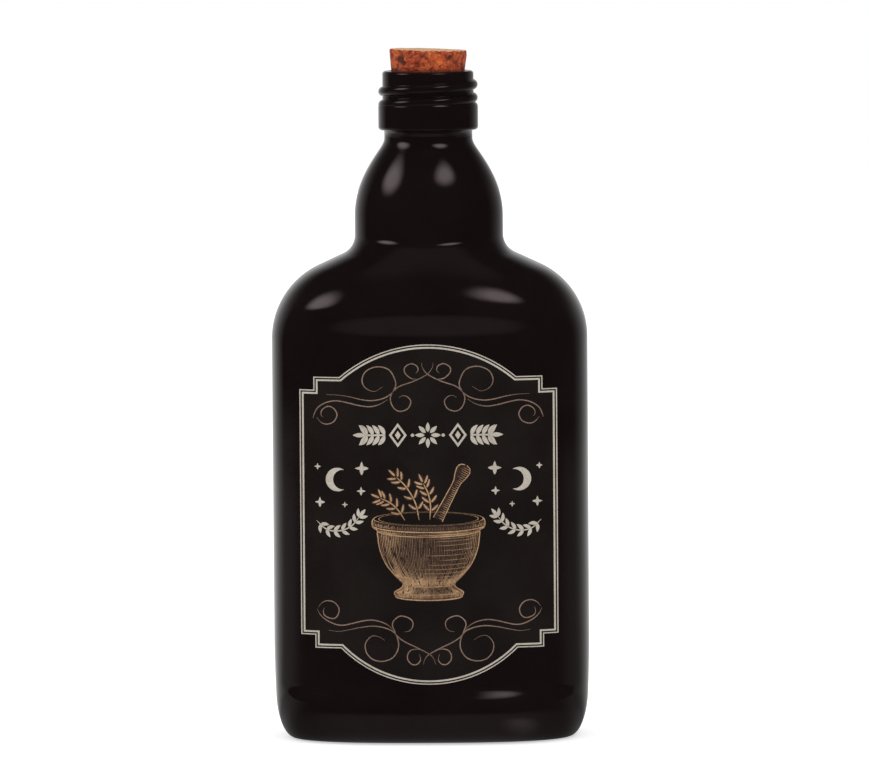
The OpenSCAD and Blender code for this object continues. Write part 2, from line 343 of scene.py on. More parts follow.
GLASS_SIDES = 256
LITTLE = 0.01

arc_x = HALF_W - SHOULDER_R
arc_z = SHOULDER_TOP_Z - SHOULDER_R
slope_x = arc_x + SHOULDER_R * np.sin(SHOULDER_SLOPE)
slope_z = arc_z + SHOULDER_R * np.cos(SHOULDER_SLOPE)
foot_x = BULB_R + FOOT_R
foot_z = slope_z + (slope_x - foot_x) * np.tan(SHOULDER_SLOPE) + FOOT_R / np.cos(SHOULDER_SLOPE)
foot_low_z = foot_z - FOOT_R * np.cos(SHOULDER_SLOPE)
cap_z = foot_z - FOOT_R * np.sin(FOOT_STOP)
bulb_z = foot_z + BULB_WALL_H
neck_curve_z = bulb_z + BULB_TOP_H
neck_z = neck_curve_z + NECK_CURVE_H
collar_z = neck_z + NECK_H
mouth_z = collar_z + COLLAR_H
lip_z = mouth_z + MOUTH_H


def share(v, a, b):
    """Share of the way from a to b, kept between 0 and 1."""
    return np.clip((v - a) / (b - a), 0, 1)


def smooth(t):
    """Smooth step: 3 t squared less 2 t cubed."""
    return t * t * (3 - 2 * t)


def turned_in(z, depth, height):
    """Quarter ellipse: how far a rounding of this depth and height is turned in at z."""
    return depth * (1 - np.sqrt(1 - np.maximum(0, 1 - z / height) ** 2))


def root(v):
    """Square root, and 0 below 0."""
    return np.sqrt(np.maximum(v, 0))


def width_at(z):
    """Half width: heel ellipse, straight side, shoulder arc, its slope, then the hollow at the bulb."""
    side = HALF_W - DRAFT * (1 - share(z, 0, DRAFT_H)) ** DRAFT_POWER
    low = side - turned_in(z, HEEL_SIDE_IN, HEEL_SIDE_H)
    arc = arc_x + root(SHOULDER_R**2 - (z - arc_z) ** 2)
    slope = slope_x - (z - slope_z) / np.tan(SHOULDER_SLOPE)
    foot = foot_x - root(FOOT_R**2 - (foot_z - z) ** 2)
    lines = [z < HEEL_SIDE_H, z <= PANEL_TOP_Z, z <= slope_z, z <= foot_low_z]
    return np.select(lines, [low, side, arc, slope], foot)


def depth_at(z):
    """Half depth: heel, roll into the sunk panel, crest, then a power curve in to the bulb's foot.

    The roll is a cubic curve that leaves the heel's ellipse at the ellipse's own slope and ends upright.
    At the foot the depth over the bulb, u, becomes half of u plus the root of u squared and the hollow
    squared.
    """
    low = HEEL_B - turned_in(z, HEEL_IN, HEEL_FRONT_H)
    below, start = (HEEL_B - turned_in(ROLL_Z - down, HEEL_IN, HEEL_FRONT_H) for down in (LITTLE, 0))
    first, last = ROLL_HANDLES
    handles = [
        (start, ROLL_Z),
        (start + (start - below) / LITTLE * first, ROLL_Z + first),
        (PANEL_B, ROLL_TOP_Z - last),
        (PANEL_B, ROLL_TOP_Z),
    ]
    roll = np.interp(z, *curve(handles, 400).T[::-1])
    crest = PANEL_B + (CREST_B - PANEL_B) * smooth(share(z, PANEL_TOP_Z, CREST_Z))
    up = np.maximum(z - CREST_Z, 0) / (FRONT_FOOT_Z - CREST_Z)
    over = (CREST_B - BULB_R) * (1 - up**FRONT_POWER)
    front = BULB_R + (over + np.sqrt(over**2 + FRONT_HOLLOW**2)) / 2
    lines = [z < ROLL_Z, z < ROLL_TOP_Z, z <= PANEL_TOP_Z, z < CREST_Z]
    return np.select(lines, [low, roll, PANEL_B, crest], front)


def form_at(z):
    """Squareness: the heel's, growing to the panel's, less at the shoulder, then 2 at the round bulb."""
    low = HEEL_FORM + (PANEL_FORM - HEEL_FORM) * share(z, HEEL_FRONT_H, PANEL_Z)
    high = FOOT_FORM + (PANEL_FORM - FOOT_FORM) * (1 - share(z, PANEL_TOP_Z, foot_low_z))
    foot = 2 + (FOOT_FORM - 2) * smooth(share(z, cap_z, foot_low_z))
    return np.select([z < PANEL_Z, z < foot_low_z], [low, high], foot)


def curve(handles, steps):
    """Cubic curve with four handles, as points (radius, height) with both ends."""
    t = np.linspace(0, 1, steps)[:, None]
    p = np.array(handles)
    return (1 - t) ** 3 * p[0] + 3 * (1 - t) ** 2 * t * p[1] + 3 * (1 - t) * t**2 * p[2] + t**3 * p[3]


def quarter(x, z, r_x, r_z, start, end, steps):
    """Part of an ellipse about (x, z), from one angle to another in degrees."""
    t = np.radians(np.linspace(start, end, steps))
    return np.stack([x + r_x * np.cos(t), z + r_z * np.sin(t)], 1)


def bulb_line(inset, steps):
    """Top of the bulb: upright at its wall and leaning in to the neck."""
    wide = BULB_R - inset
    narrow = BULB_TOP_R - inset
    lead = BULB_TOP_H / 3
    return curve(
        [
            (wide, bulb_z),
            (wide, bulb_z + BULB_TOP_H * BULB_FULL),
            (narrow + lead * np.sin(BULB_LEAN), neck_curve_z - lead * np.cos(BULB_LEAN)),
            (narrow, neck_curve_z),
        ],
        steps,
    )


def neck_line(steps):
    """Hollow curve from the bulb's top to the straight neck."""
    knee = min(neck_z, neck_curve_z + (BULB_TOP_R - NECK_R) / np.tan(BULB_LEAN))
    return curve(
        [
            (BULB_TOP_R, neck_curve_z),
            ((BULB_TOP_R + 2 * NECK_R) / 3, (neck_curve_z + 2 * knee) / 3),
            (NECK_R, (neck_z + 2 * knee) / 3),
            (NECK_R, neck_z),
        ],
        steps,
    )


def round_rings(line):
    """Turned part: each (radius, height) becomes a round ring (height, half width, half depth, 2)."""
    line = np.asarray(line)
    return np.stack([line[:, 1], line[:, 0], line[:, 0], np.full(len(line), 2.0)], 1)


def body_rings(z):
    """The skin's rings, their depth averaged over a little height from the panel up, to soften creases."""
    reach = np.interp(z, (ROLL_TOP_Z + 1, ROLL_TOP_Z + 3), (0, PANEL_SOFT))
    depth = sum(depth_at(z + at * reach) for at in np.linspace(-1, 1, 9)) / 9
    return np.stack([z, width_at(z), depth, form_at(z)], 1)


def cavity_rings(z):
    """The cavity's rings: one wall inside the skin, and in the shoulder also one wall below it."""
    up = z + WALL * share(z, PANEL_Z, PANEL_TOP_Z)
    return np.stack([z, width_at(up) - WALL, depth_at(up) - WALL, form_at(up)], 1)


def ring_points(rings, sides):
    """Grid of points: on a ray at angle t the ring lies where |x/a|^n + |y/b|^n = 1."""
    t = np.linspace(0, 2 * np.pi, sides, endpoint=False)[None, :]
    z, a, b, n = (rings[:, i : i + 1] for i in range(4))
    reach = (np.abs(np.cos(t) / a) ** n + np.abs(np.sin(t) / b) ** n) ** (-1 / n)
    return np.stack([reach * np.cos(t), reach * np.sin(t), z + 0 * t], 2)


def grid_faces(rows, columns, closed):
    """Quads of a grid of points; a closed grid joins its last column to its first."""
    index = np.arange(rows * columns).reshape(rows, columns)
    if closed:
        index = np.concatenate([index, index[:, :1]], 1)
    corners = [index[:-1, :-1], index[:-1, 1:], index[1:, 1:], index[1:, :-1]]
    return np.stack(corners, -1).reshape(-1, 4)


def new_object(name, points, faces, material):
    """A smooth mesh object at the origin, from points in millimetres and lists of faces."""
    mesh = bpy.data.meshes.new(name)
    mesh.from_pydata((np.asarray(points).reshape(-1, 3) * MM).tolist(), [], faces)
    mesh.shade_smooth()
    mesh.materials.append(material)
    piece = bpy.data.objects.new(name, mesh)
    bpy.context.collection.objects.link(piece)
    return piece


def closed_skin(name, points, first, last, material):
    """A closed grid of rings with a pole point at each end, joined to it by triangles."""
    rows, sides = points.shape[:2]
    around = np.arange(sides)
    after = (around + 1) % sides
    pole = rows * sides
    start = np.stack([np.full(sides, pole), after, around], 1)
    top = pole - sides
    end = np.stack([top + around, top + after, np.full(sides, pole + 1)], 1)
    faces = grid_faces(rows, sides, True).tolist() + start.tolist() + end.tolist()
    return new_object(name, np.concatenate([points.reshape(-1, 3), [first, last]]), faces, material)


glass = bpy.data.materials.new("black_glass")
s = shader_tree(glass)
place = s.node("ShaderNodeTexCoord", out="Object")
waves = place.noise(28, 1.5)
peel = place.noise(260, 2)
haze = place.noise(45, 5, 0.6)
tint = haze.step(0.3, 0.7).blend((0.0072, 0.0042, 0.0047), (0.0090, 0.0056, 0.0060))
polish = 0.06 + haze.step(0.35, 0.75) * 0.05
warm_gloss = {"IOR": 1.5, "Specular Tint": (1.0, 0.82, 0.8, 1)}
s.surface(tint, polish, waves + peel * 0.05, 0.12, 0.002, warm_gloss)

heel = HEEL_SIDE_H * (1 - np.cos(np.linspace(0, np.pi / 2, 30)))
arc_start = np.arcsin((CREST_Z - arc_z) / SHOULDER_R)
body_z = np.unique(
    np.concatenate(
        [
            heel,
            np.linspace(ROLL_Z, ROLL_TOP_Z, 20),
            PANEL_Z + np.array([0.3, 0.6, 0.9, 1.2, 1.5, 3]),
            np.linspace(PANEL_Z + 6, PANEL_TOP_Z - 1, 22),
            np.linspace(PANEL_TOP_Z, CREST_Z, 24),
            arc_z + SHOULDER_R * np.sin(np.linspace(arc_start, np.pi / 2 - SHOULDER_SLOPE, 30)),
            np.linspace(slope_z, foot_low_z, 10),
            np.linspace(foot_low_z, cap_z, 26),
        ]
    ).round(4)
)
reach_w = HALF_W - DRAFT - HEEL_SIDE_IN - BEARING_W
reach_d = HEEL_B - HEEL_IN - BEARING_W
t = np.radians(np.linspace(84, 0, 8))
ring_w = reach_w * np.cos(t)
ring_d = reach_d * np.cos(t)
hollow = np.stack([PUSH_UP * np.sin(t), ring_w, ring_d, np.full(8, HEEL_FORM)], 1)
outside = np.concatenate(
    [
        [(BULB_R, z) for z in (cap_z + 0.3, bulb_z - 1)],
        bulb_line(0, 30),
        neck_line(12)[1:],
        [(NECK_R, collar_z)],
        quarter(COLLAR_R - EDGE_R, collar_z + EDGE_R, EDGE_R, EDGE_R, -90, 0, 6),
        [(COLLAR_R, z) for z in np.linspace(collar_z + 1.5, mouth_z - 2.8, 4)],
    ]
)
fine_z = np.linspace(mouth_z - 2.6, lip_z - EDGE_R - 0.05, 92)
rounding = share(fine_z, mouth_z - COLLAR_ROUND[0], mouth_z - COLLAR_ROUND[1])
shelf = MOUTH_R + (COLLAR_R - MOUTH_R) * root(1 - rounding**2)
mouth = np.stack([shelf, fine_z], 1)
lip = quarter(MOUTH_R - EDGE_R, lip_z - EDGE_R, EDGE_R, EDGE_R, 0, 90, 7)
bore_z = (lip_z - EDGE_R / 2, lip_z - BORE_MID, neck_curve_z)
bore = [(BORE_R + EDGE_R / 2, lip_z), *((BORE_R, z) for z in bore_z)]
inner_bulb = bulb_line(WALL, 16)[::-1]
inner_end = (BULB_R - WALL, cap_z - WALL + 0.3)
inner_line = np.concatenate([inner_bulb[inner_bulb[:, 0] > BORE_R], [inner_end]])
down_z = np.concatenate([np.linspace(cap_z - WALL, PANEL_TOP_Z - WALL, 16), np.linspace(98, 25, 4)])
floor_z = BASE_T + PUSH_UP
round_h = HEEL_SIDE_H - BASE_T
t = np.radians(np.linspace(72, 0, 8))
low_z = floor_z + round_h * (1 - np.cos(t))
inset = turned_in(low_z - floor_z, HEEL_IN, round_h)
low = np.stack([low_z, HALF_W - DRAFT - WALL - inset, PANEL_B - WALL - inset, np.full(8, PANEL_FORM)], 1)
rings = np.concatenate(
    [
        hollow,
        body_rings(body_z),
        round_rings(outside),
        round_rings(mouth),
        round_rings(lip),
        round_rings(bore),
        round_rings(inner_line),
        cavity_rings(down_z),
        low,
    ]
)
points = ring_points(rings, GLASS_SIDES)

# The thread: a round bead that climbs to the right round the mouth
angle = np.linspace(0, 2 * np.pi, GLASS_SIDES, endpoint=False)[None, :]
below_mouth = len(hollow) + len(body_z) + len(outside)
threaded = slice(below_mouth, below_mouth + len(mouth))
bead = 0
for winding in (-2, -1, 0):
    along = angle + winding * 2 * np.pi
    offset = (fine_z[:, None] - THREAD_RIGHT_Z - THREAD_PITCH * along / (2 * np.pi)) / THREAD_HALF
    fade = smooth(share(along, THREAD_FROM, THREAD_FROM + THREAD_FADE))
    fade = fade * smooth(share(-along, -THREAD_TO, THREAD_FADE - THREAD_TO))
    bead = np.maximum(bead, fade * THREAD_CREST * np.maximum(0, 1 - offset**2) ** THREAD_FLAT)
radius = shelf[:, None] * np.ones_like(angle)
radius = np.maximum(radius, MOUTH_R + bead)
points[threaded, :, 0] = radius * np.cos(angle)
points[threaded, :, 1] = radius * np.sin(angle)
bottle = closed_skin("glass_bottle", points, (0, 0, PUSH_UP), (0, 0, floor_z), glass)
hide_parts("bottle")
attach(bottle, "bottle")

# Cork
# A tapered stopper cut from natural cork and pushed in by hand, so it leans a
# little to the right. Its pores are open pits, and its top edge is chipped.
CORK_IN = 19.0
CORK_OUT = 5.95
CORK_R = 10.35
CORK_FLARE = 0.6
CORK_TAPER = np.radians(3.5)
CORK_EDGE = 0.45
CORK_FOOT_EDGE = 0.6
FOOT_CENTRE = 0.6
TOP_CENTRE = 0.5
CORK_LEAN = np.radians(1.7)
CORK_SIDES = 320
CORK_DEEPEST = 0.95
PORES = 80
CHIPS = 44
TOP_PITS = 60
TOP_SPAN = 3.1
LIP_SHADE_BELOW = 1.2
LIP_SHADE_ABOVE = 1.3
# Each hollow's angle in degrees, height, size and depth, the big ones where they show
HOLLOWS = [
    (-137, 3.3, 1.3, 0.6),
    (-131, 2.2, 1.0, 0.6),
    (-99, 4.3, 0.9, 0.35),
    (-91, 3.6, 0.7, 0.3),
    (-52, 3.9, 1.1, 0.4),
    (-44, 2.9, 0.9, 0.35),
    (20, 2.2, 1.0, 0.6),
    (95, 3.6, 1.2, 0.6),
    (140, 2.4, 0.9, 0.5),
]


def dents(angle, along, spots):
    """Sum of dents: each is its depth times e to minus the fourth power of the distance over its size.

    A spot is an angle, a height, a size, a depth and a flatness. Distance is measured on the side rolled
    out flat.
    """
    total = np.zeros(np.broadcast(angle, along).shape)
    for middle, height, size, deep, flat in spots:
        turned = (angle - middle + np.pi) % (2 * np.pi) - np.pi
        far = ((turned * CORK_R) ** 2 + ((along - height) / flat) ** 2) / size**2
        total = total + deep * np.exp(-(far**2))
    return total


def scattered(count, sizes, depths, reach, seed):
    """Spots drawn evenly between the given limits."""
    draw = np.random.default_rng(seed)
    limits = ((-np.pi, np.pi), reach, sizes, depths, (0.5, 1.0))
    return np.stack([draw.uniform(*limit, count) for limit in limits], 1)


cork_foot_r = CORK_R - CORK_IN * np.tan(CORK_TAPER)
cork_top_r = CORK_R + CORK_FLARE
edge_foot_r = cork_foot_r - CORK_FOOT_EDGE
edge_top_r = cork_top_r - CORK_EDGE
cork_line = np.concatenate(
    [
        np.linspace((FOOT_CENTRE, -CORK_IN), (edge_foot_r - 0.1, -CORK_IN), 9),
        quarter(edge_foot_r, CORK_FOOT_EDGE - CORK_IN, CORK_FOOT_EDGE, CORK_FOOT_EDGE, -90, 0, 5),
        np.linspace((cork_foot_r, 1 - CORK_IN), (CORK_R, 0), 30),
        np.linspace((CORK_R, 0), (cork_top_r, CORK_OUT - CORK_EDGE), 52)[1:],
        quarter(edge_top_r, CORK_OUT - CORK_EDGE, CORK_EDGE, CORK_EDGE, 8, 90, 8),
        np.linspace((edge_top_r, CORK_OUT), (TOP_CENTRE, CORK_OUT), 26)[1:],
    ]
)
cork_angle = np.linspace(0, 2 * np.pi, CORK_SIDES, endpoint=False)[None, :]
cork_r = cork_line[:, :1]
cork_z = cork_line[:, 1:] + 0 * cork_angle

# Where dents may be: pits and chips on the side above the lip, shallow ones inside the top's edge
on_side = share(cork_line[:, 1:], -0.5, 0.6) * share(cork_r, cork_top_r - 1.6, cork_top_r - 0.6)
on_top = share(cork_line[:, 1:], CORK_OUT - 0.05, CORK_OUT) * share(cork_top_r - cork_r, 0.2, 0.8)
on_edge = share(cork_r, cork_top_r - 1.4, cork_top_r - 0.3)
hollows = [(np.radians(turned), height, size, deep, 0.8) for turned, height, size, deep in HOLLOWS]
pores = scattered(PORES, (0.3, 0.8), (0.04, 0.26), (-0.5, CORK_OUT), 11)
hollow_depth = np.minimum(dents(cork_angle, cork_z, [*hollows, *pores]) * on_side, CORK_DEEPEST)
bites = scattered(CHIPS, (0.4, 1.0), (0.1, 0.36), (CORK_OUT - 0.3, CORK_OUT), 23)
chips = dents(cork_angle, cork_z, bites)
top_pits = scattered(TOP_PITS, (0.8, 1.5), (0.05, 0.2), (0, 34), 31)
top_dents = dents(cork_angle, cork_r * TOP_SPAN, top_pits)
reach = np.maximum(cork_r - hollow_depth - chips * on_side, 0)
sunk = cork_z - chips * on_edge - top_dents * on_top
flat_x = reach * np.cos(cork_angle)
cork_x = flat_x * np.cos(CORK_LEAN) + sunk * np.sin(CORK_LEAN)
cork_up = lip_z - flat_x * np.sin(CORK_LEAN) + sunk * np.cos(CORK_LEAN)
points = np.stack([cork_x, reach * np.sin(cork_angle), cork_up], 2)
foot_pole = (-CORK_IN * np.sin(CORK_LEAN), 0, lip_z - CORK_IN * np.cos(CORK_LEAN))
top_pole = (CORK_OUT * np.sin(CORK_LEAN), 0, lip_z + CORK_OUT * np.cos(CORK_LEAN))

bark = bpy.data.materials.new("natural_cork")
s = shader_tree(bark)
place = s.node("ShaderNodeTexCoord", out="Object")
pit = s.node("ShaderNodeAttribute", {"attribute_name": "pit"}, out="Fac")
cut = s.node("ShaderNodeAttribute", {"attribute_name": "cut"}, out="Fac")
bent = place.noise(420, 3, out="Color")
push = s.node("ShaderNodeVectorMath", {"operation": "SCALE"}, {0: bent, "Scale": 0.0022})
moved = s.node("ShaderNodeVectorMath", {"operation": "ADD"}, {0: place, 1: push})
grain = moved.noise(900, 5, 0.65)
blotch = place.noise(260, 3)
cell_inputs = {"Vector": moved, "Scale": 620, "Randomness": 1}
cells = s.node("ShaderNodeTexVoronoi", {"feature": "DISTANCE_TO_EDGE"}, cell_inputs)
veins = 1 - cells.step(0.02, 0.16)
streak = moved.noise(520, 4, 0.6)
warm = blotch.step(0.38, 0.62).blend((0.42, 0.042, 0.009), (0.64, 0.105, 0.022))
light = grain.step(0.46, 0.74).blend(warm, (0.84, 0.23, 0.060))
dull = streak.step(0.48, 0.62).blend(light, (0.22, 0.027, 0.008))
lined = (veins * grain.step(0.35, 0.6) * 0.45).blend(dull, (0.17, 0.025, 0.007))
pored = (pit * (0.3 + 1.3 * streak)).step(0.15, 1.0).blend(lined, (0.115, 0.022, 0.010))
# Painted shade: a dark band round the cork where it goes into the lip, from a little below the lip to a
# little above it, broken up by the grain.
up = s.node("ShaderNodeSeparateXYZ", inputs={0: place}).other("Z")
under_lip = up.step((lip_z - LIP_SHADE_BELOW) * MM, lip_z * MM)
over_lip = up.step(lip_z * MM, (lip_z + LIP_SHADE_ABOVE) * MM)
at_lip = under_lip * (1 - over_lip)
painted_lip_shade = (at_lip * (0.35 + 0.5 * grain)).blend(pored, (0.10, 0.012, 0.004))
pale = grain.step(0.3, 0.7).blend((0.60, 0.28, 0.12), (0.85, 0.56, 0.33))
skin = (cut * (0.3 + 1.2 * streak)).step(0.35, 0.75).blend(painted_lip_shade, pale)
s.surface(skin, 0.85, grain - veins * 0.8 + blotch * 0.6, 0.55, 0.0005)

cork = closed_skin("cork", points, foot_pole, top_pole, bark)
for name, values in (("pit", np.minimum(hollow_depth / 0.5, 1)), ("cut", on_top + 0 * cork_angle)):
    layer = cork.data.attributes.new(name, "FLOAT", "POINT")
    ends = (0.0, 0.0) if name == "pit" else (0.0, 1.0)
    layer.data.foreach_set("value", np.concatenate([values.ravel(), ends]).astype(np.float32))
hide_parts("cork_stopper")
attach(cork, "stopper")

# Label paper
# A die-cut sheet of dark printed paper stuck on the front panel. Its outline has
# an arch and two square steps on each side of it, at the top and at the bottom.
LABEL_HALF_W = 36.0
STEP_HALF_W = 32.0
STEP_H = 3.65
ARCH_HALF_W = 24.7
TOP_RISE = 9.15
LOW_RISE = 10.15
LABEL_H = 95.5
LABEL_GAP = 0.3
PAPER_T = 0.15
END_ROWS = 12

label_z = PANEL_Z + LABEL_GAP
label_top_z = label_z + LABEL_H
step_z = (label_z + LOW_RISE, label_top_z - TOP_RISE)
wing_z = (step_z[0] + STEP_H, step_z[1] - STEP_H)


def on_panel(x, z, lift):
    """The panel's point in front of x, on |x/a|^n + |y/b|^n = 1, moved out along its normal by lift."""
    across = np.abs(x) / HALF_W
    deep = (1 - across**PANEL_FORM) ** (1 / PANEL_FORM)
    way_x = np.sign(x) * across ** (PANEL_FORM - 1) / HALF_W
    way_y = deep ** (PANEL_FORM - 1) / PANEL_B
    size = np.hypot(way_x, way_y)
    return np.stack([x + lift * way_x / size, -PANEL_B * deep - lift * way_y / size, z + 0 * x], -1)


def arch_radius(rise):
    """Radius of the circle whose arch is as wide as the label's and rises this far."""
    return (ARCH_HALF_W**2 + rise**2) / (2 * rise)


def arch_over(x, rise, inset=0.0):
    """Height of a circular arch over its two ends, drawn inset from its line, and 0 past them."""
    radius = arch_radius(rise)
    return np.maximum(root((radius - inset) ** 2 - x**2) - (radius - rise), -inset)


steps_x = [-STEP_HALF_W, STEP_HALF_W]
columns = np.unique(np.concatenate([np.linspace(-1, 1, 73) * LABEL_HALF_W, steps_x]))
low_z = step_z[0] - arch_over(columns, LOW_RISE)
top_z = step_z[1] + arch_over(columns, TOP_RISE)
t = np.linspace(0, 1, END_ROWS + 1)[:, None]
sheet_z = np.concatenate(
    [
        low_z + (wing_z[0] - low_z) * t[:-1],
        np.linspace(wing_z[0], wing_z[1], 50)[:, None] + 0 * columns,
        wing_z[1] + (top_z - wing_z[1]) * t[1:],
    ]
)
rows, count = sheet_z.shape
faces = grid_faces(rows, count, False).reshape(rows - 1, count - 1, 4)
outer_rows = np.r_[0:END_ROWS, rows - 1 - END_ROWS : rows - 1]
wings = np.abs(columns[:-1] + columns[1:]) / 2 > STEP_HALF_W
keep = np.ones((rows - 1, count - 1), bool)
keep[np.ix_(outer_rows, np.flatnonzero(wings))] = False
used, renumbered = np.unique(faces[keep], return_inverse=True)
sheet = on_panel(columns + 0 * sheet_z, sheet_z, PAPER_T).reshape(-1, 3)[used]

card = bpy.data.materials.new("label_paper")
s = shader_tree(card)
place = s.node("ShaderNodeTexCoord", out="Object")
fibre = place.noise(1500, 4, 0.7)
cloud = place.noise(60, 4)
tone = cloud.step(0.35, 0.7).blend((0.0128, 0.0062, 0.0044), (0.0172, 0.0090, 0.0064))
flecked = (fibre.step(0.55, 0.8) * 0.5).blend(tone, (0.028, 0.017, 0.013))
dull = 0.42 + cloud.step(0.3, 0.7) * 0.1
s.surface(flecked, dull, fibre, 0.12, 0.0002, {"Specular IOR Level": 0.4})

label = new_object("label_sheet", sheet, renumbered.reshape(-1, 4).tolist(), card)
thick = label.modifiers.new("thickness", "SOLIDIFY")
thick.thickness = PAPER_T * MM
thick.offset = -1
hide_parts("front_label")
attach(label, "bottle")

# Label border
# A thin cream line along the cut edge and a wider one inside it, printed in a
# slightly raised ink, so it follows every step and arch of the outline.
INK_LOW = 0.10
INK_TOP = 0.17
BORDER_LINES = ((0.0, 0.30), (0.70, 1.18))


def outline(inset):
    """The label's outline drawn inset: straight sides and steps moved in, arches of a smaller radius."""
    sides = []
    for rise, step, up in ((TOP_RISE, step_z[1], 1), (LOW_RISE, step_z[0], -1)):
        radius = arch_radius(rise)
        end = np.sqrt((radius - inset) ** 2 - (radius - rise - inset) ** 2)
        wide = np.linspace(LABEL_HALF_W - inset, STEP_HALF_W - inset, 6)
        ledge = np.linspace(STEP_HALF_W - inset, end, 8)
        arch = np.linspace(end, 0, 40)[1:]
        x = np.concatenate([wide, ledge, arch])
        z = np.concatenate([0 * wide - STEP_H - inset, 0 * ledge - inset, arch_over(arch, rise, inset)])
        sides.append(np.stack([x, step + up * z], 1))
    mirror = np.array([-1, 1])
    top, low = sides
    return np.concatenate([top, (top * mirror)[-2::-1], low * mirror, low[-2::-1]])


def inked(left, right, top=INK_TOP, across=2, closed=False):
    """Points and faces of ink between two lines: up from the paper, across in steps, and down again.

    A closed pair of lines makes a ring. An open one gets a flat end at its start and at its finish.
    """
    over = np.linspace(0, 1, across)[:, None, None]
    lines = [on_panel(left[:, 0], left[:, 1], INK_LOW)]
    lines += [on_panel(line[:, 0], line[:, 1], top) for line in left + (right - left) * over]
    lines += [on_panel(right[:, 0], right[:, 1], INK_LOW)]
    grid = np.stack(lines, 1)
    rows, columns = grid.shape[:2]
    if closed:
        faces = grid_faces(rows + 1, columns, True) % (rows * columns)
        return grid.reshape(-1, 3), faces.tolist()
    ends = [list(range(columns))[::-1], list(range((rows - 1) * columns, rows * columns))]
    return grid.reshape(-1, 3), grid_faces(rows, columns, True).tolist() + ends


def spline(handles, steps=14):
    """Smooth curve of cubics through its handles, sloped at each along the chord of its neighbours."""
    p = np.array(handles, float)
    p = np.concatenate([[2 * p[0] - p[1]], p, [2 * p[-1] - p[-2]]])
    at = np.linspace(0, len(handles) - 1, (len(handles) - 1) * steps + 1)
    i = np.minimum(at.astype(int), len(handles) - 2)
    t = (at - i)[:, None]
    a, b, c, d = p[i], p[i + 1], p[i + 2], p[i + 3]
    square = t**2 * (a - 2.5 * b + 2 * c - d / 2)
    cube = t**3 * (1.5 * (b - c) + (d - a) / 2)
    return b + t * (c - a) / 2 + square + cube


def stroke(path, width, top=INK_TOP):
    """A pen line: half its width is laid off square to the path on both sides of each point."""
    along = np.gradient(path, axis=0)
    along = along / np.hypot(along[:, :1], along[:, 1:])
    side = np.stack([-along[:, 1], along[:, 0]], 1) * np.broadcast_to(width, len(path))[:, None] / 2
    return inked(path + side, path - side, top)


def tapered(path, width, first=0.15, last=0.15, fine=0.3):
    """The line's width at each point: full in its middle, and down to a share of it at both ends."""
    t = np.linspace(0, 1, len(path))
    return width * (fine + (1 - fine) * smooth(share(t, 0, first)) * smooth(share(1 - t, 0, last)))


def printed(name, shapes, material):
    """All the shapes of one ink as one piece that lies on the label."""
    points = [shape[0] for shape in shapes]
    starts = np.cumsum([0] + [len(group) for group in points])
    faces = [[start + i for i in face] for start, shape in zip(starts, shapes) for face in shape[1]]
    piece = new_object(name, np.concatenate(points), faces, material)
    piece.data.shade_flat()
    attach(piece, "bottle")


def ink(name, colours, roughness):
    """Printing ink: a blend of two colours by a fine noise over a cloudy one."""
    material = bpy.data.materials.new(name)
    s = shader_tree(material)
    place = s.node("ShaderNodeTexCoord", out="Object")
    speck = place.noise(1800, 3)
    cloud = place.noise(160, 3)
    tone = (speck * 0.6 + cloud * 0.4).step(0.35, 0.65).blend(*colours)
    s.surface(tone, roughness + speck * 0.1, speck, 0.1, 0.0001)
    return material


cream_ink = ink("cream_ink", ((0.50, 0.44, 0.36), (0.62, 0.56, 0.48)), 0.45)
lines = [inked(outline(last), outline(first), closed=True) for first, last in BORDER_LINES]
printed("label_border", lines, cream_ink)

# Label scrolls
# Penned flourishes in a dull copper ink, the same set mirrored left and right,
# under the upper arch and over the lower one. Their ends run out thin.
SCROLL_W = 0.31
TOP_JOINT = (-9.5, 99.6)
LOW_JOINT = (-9.7, 31.6)
TOP_SCROLL = [
    [
        (-18.9, -1.2), (-15.6, -1.3), (-12.6, -1.7), (-9.1, -2.5), (-6.4, -2.8), (-3.6, -2.4),
        (-1.4, -1.4), (0, 0), (0.6, 2.3), (-1.1, 5.7), (-4.4, 6.7), (-7.6, 5.5), (-8.8, 3),
        (-7.9, 0.8), (-5.4, -0.2), (-3, 1.1),
    ],
    [
        (-22.6, -7.9), (-22.5, -7.2), (-21.4, -5), (-19.1, -3.5), (-16.1, -2.9), (-12.6, -3.5),
        (-10.1, -4.1), (-6.9, -4.5), (-4.1, -3.9), (-1.7, -2.5),
    ],
    [
        (-21.6, -7.7), (-20.4, -9), (-18.9, -9.5), (-16.9, -8.8), (-15.9, -6.8), (-16.9, -5),
        (-18.5, -4.5), (-20.1, -5.5), (-20.4, -6.8), (-19.9, -7.5),
    ],
    [
        (11.1, 7.8), (10.9, 6.5), (9.5, 4.6), (5.9, 2.7), (1.9, 1.3), (0, -0.1), (-0.9, -2),
        (-0.5, -4), (0.6, -5.4), (2.1, -5.8), (4, -5), (4.8, -3.1), (3.9, -1.8), (2.6, -1.4),
        (1.4, -2),
    ],
    [
        (7, 3.2), (5.9, 3.2), (4.6, 3.6), (3.2, 5), (3.2, 6.5), (4.9, 7.5), (6.5, 6.9), (6.9, 5.7),
        (6.2, 4.8),
    ],
]
